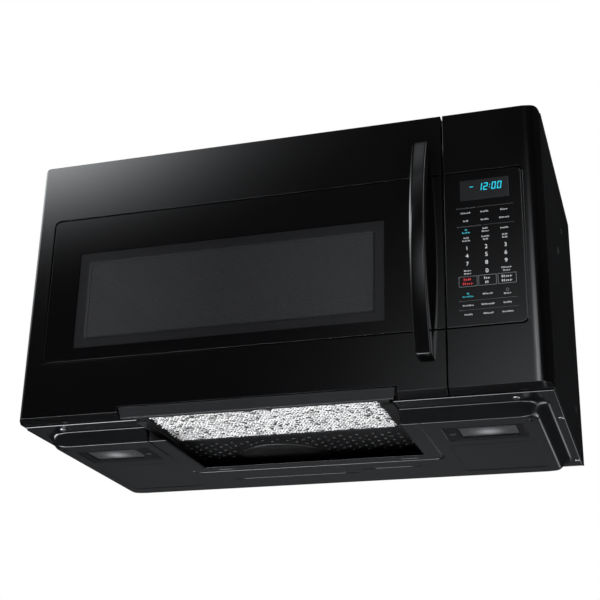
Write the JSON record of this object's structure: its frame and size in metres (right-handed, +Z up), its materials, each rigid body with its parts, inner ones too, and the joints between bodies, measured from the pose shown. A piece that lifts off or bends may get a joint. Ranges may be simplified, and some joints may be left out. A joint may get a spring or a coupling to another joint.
{
  "type": "over-the-range microwave oven",
  "caption": "Wall-hung microwave oven with a side-hinged window door, bowed handle, touch panel, turntable, pull-out grease filter and cooktop lamps underneath.",
  "frame": {"origin": "under the middle of the whole object, handle included, on the plane of its lowest face", "axes": "+X to the right as seen from the front, +Y to the back (the wall), +Z up"},
  "size_m": [0.761, 0.45, 0.433],
  "materials": {
    "case_paint": "black enamel, semi-gloss",
    "base_paint": "charcoal powder coat, satin with fine orange peel",
    "galvanised": "bare zinc-coated sheet",
    "face_enamel": "black enamel on the front sheet",
    "cavity_enamel": "pale grey enamel, semi-gloss",
    "mica": "pressed mica sheet",
    "front_black": "gloss black moulding",
    "handle_black": "gloss black bar",
    "door_glass_tint": "smoked tempered glass, black border",
    "clear_glass": "clear glass",
    "screen_black": "black perforated steel",
    "choke_steel": "folded steel channel",
    "choke_plastic": "black moulded cover",
    "panel_face": "gloss black touch panel with pale marks",
    "display_lens": "smoked lens",
    "display_body": "display unit",
    "circuit_board": "green circuit board with parts",
    "latch_plastic": "white acetal",
    "switch_black": "black switch bodies",
    "spring_steel": "drawn wire",
    "plated_steel": "zinc-plated pins and nuts",
    "screw_black": "black coated screws",
    "filter_aluminium": "layered expanded aluminium mesh",
    "filter_frame_metal": "black folded frame",
    "pull_grey": "dark grey moulded bar",
    "lamp_plastic": "black lamp cover",
    "lamp_glass": "prismatic lamp glass",
    "bulb_glass": "frosted bulbs",
    "socket_ceramic": "ceramic lamp holders",
    "magnetron_metal": "finned tube body",
    "transformer_core": "varnished steel laminations and windings",
    "capacitor_can": "oval can",
    "diode_body": "moulded diode",
    "fan_plastic": "grey fan moulding",
    "motor_steel": "motor bodies",
    "charcoal": "charcoal filter pad"
  },
  "bodies": {
    "cabinet": {"cabinet_shell": "case_paint", "back_plate": "case_paint", "base_plate": "base_paint", "intake_plate": "base_paint", "filter_rails": "base_paint", "chassis_plate": "galvanised", "exhaust_cover": "galvanised", "waveguide": "galvanised", "hinge_brackets": "galvanised", "face_plate": "face_enamel", "cavity_box": "cavity_enamel", "waveguide_cover": "mica", "control_frame": "front_black", "vent_grille": "choke_plastic", "control_overlay": "panel_face", "display_window": "display_lens", "display_module": "display_body", "control_board": "circuit_board", "latch_bracket": "latch_plastic", "interlock_switches": "switch_black", "cord_gland": "switch_black", "hinge_pins": "plated_steel", "weld_nuts": "plated_steel", "screws": "screw_black", "lamp_covers": "lamp_plastic", "lamp_lenses": "lamp_glass", "lamp_bulbs": "bulb_glass", "cavity_lamp": "bulb_glass", "lamp_sockets": "socket_ceramic", "magnetron": "magnetron_metal", "hv_transformer": "transformer_core", "hv_capacitor": "capacitor_can", "hv_diode": "diode_body", "fan_shroud": "fan_plastic", "blower_housing": "fan_plastic", "fan_motor": "motor_steel", "blower_motor": "motor_steel", "turntable_motor": "motor_steel", "charcoal_filter": "charcoal"},
    "door": {"door_frame": "front_black", "door_glass": "door_glass_tint", "door_screen": "screen_black", "door_choke": "choke_steel", "choke_cover": "choke_plastic", "door_inner_glass": "clear_glass", "door_handle": "handle_black", "handle_screws": "plated_steel", "latch_spring": "spring_steel"},
    "latch": {"latch_hooks": "latch_plastic"},
    "filter": {"filter_frame": "filter_frame_metal", "filter_mesh": "filter_aluminium", "filter_pull": "pull_grey"},
    "turntable": {"turntable_coupler": "latch_plastic", "glass_tray": "clear_glass"},
    "ring": {"roller_ring": "latch_plastic"},
    "roller_1": {"roller_1": "latch_plastic"},
    "roller_2": {"roller_2": "latch_plastic"},
    "roller_3": {"roller_3": "latch_plastic"},
    "fan": {"cooling_fan": "fan_plastic"},
    "blower": {"blower_rotor": "fan_plastic"}
  },
  "joints": [
    {"name": "door_hinge", "type": "hinge", "parent": "cabinet", "child": "door", "pos_m": [-0.3735, -0.159, 0.226], "axis": [0, 0, -1], "range_deg": [0, 100]},
    {"name": "latch_slide", "type": "slide", "parent": "door", "child": "latch", "axis": [0, 0, 1], "range_m": [0, 0.005], "stiffness_N_per_m": 800, "springref_m": -0.002, "deforming": ["latch_spring"]},
    {"name": "filter_slide", "type": "slide", "parent": "cabinet", "child": "filter", "axis": [0, -1, 0], "range_m": [0, 0.105]},
    {"name": "turntable_spin", "type": "hinge", "parent": "cabinet", "child": "turntable", "pos_m": [-0.0755, 0.0393, 0.0863], "axis": [0, 0, 1], "continuous": true},
    {"name": "ring_spin", "type": "hinge", "parent": "cabinet", "child": "ring", "pos_m": [-0.0755, 0.0393, 0.0863], "axis": [0, 0, 1], "continuous": true},
    {"name": "roller_1_spin", "type": "hinge", "parent": "ring", "child": "roller_1", "pos_m": [0.02539, 0.09755, 0.0863], "axis": [0.866, 0.5, 0], "continuous": true},
    {"name": "roller_2_spin", "type": "hinge", "parent": "ring", "child": "roller_2", "pos_m": [-0.17639, 0.09755, 0.0863], "axis": [-0.866, 0.5, 0], "continuous": true},
    {"name": "roller_3_spin", "type": "hinge", "parent": "ring", "child": "roller_3", "pos_m": [-0.0755, -0.0772, 0.0863], "axis": [0, -1, 0], "continuous": true},
    {"name": "fan_spin", "type": "hinge", "parent": "cabinet", "child": "fan", "pos_m": [0.29065, 0.141, 0.25], "axis": [0, 1, 0], "continuous": true},
    {"name": "blower_spin", "type": "hinge", "parent": "cabinet", "child": "blower", "pos_m": [-0.0755, 0.163, 0.3784], "axis": [1, 0, 0], "continuous": true}
  ],
  "couplings": [
    {"joint": "ring_spin", "follows": "turntable_spin", "ratio": 0.5},
    {"joint": "roller_1_spin", "follows": "turntable_spin", "ratio": -8.3214},
    {"joint": "roller_2_spin", "follows": "turntable_spin", "ratio": -8.3214},
    {"joint": "roller_3_spin", "follows": "turntable_spin", "ratio": -8.3214}
  ]
}
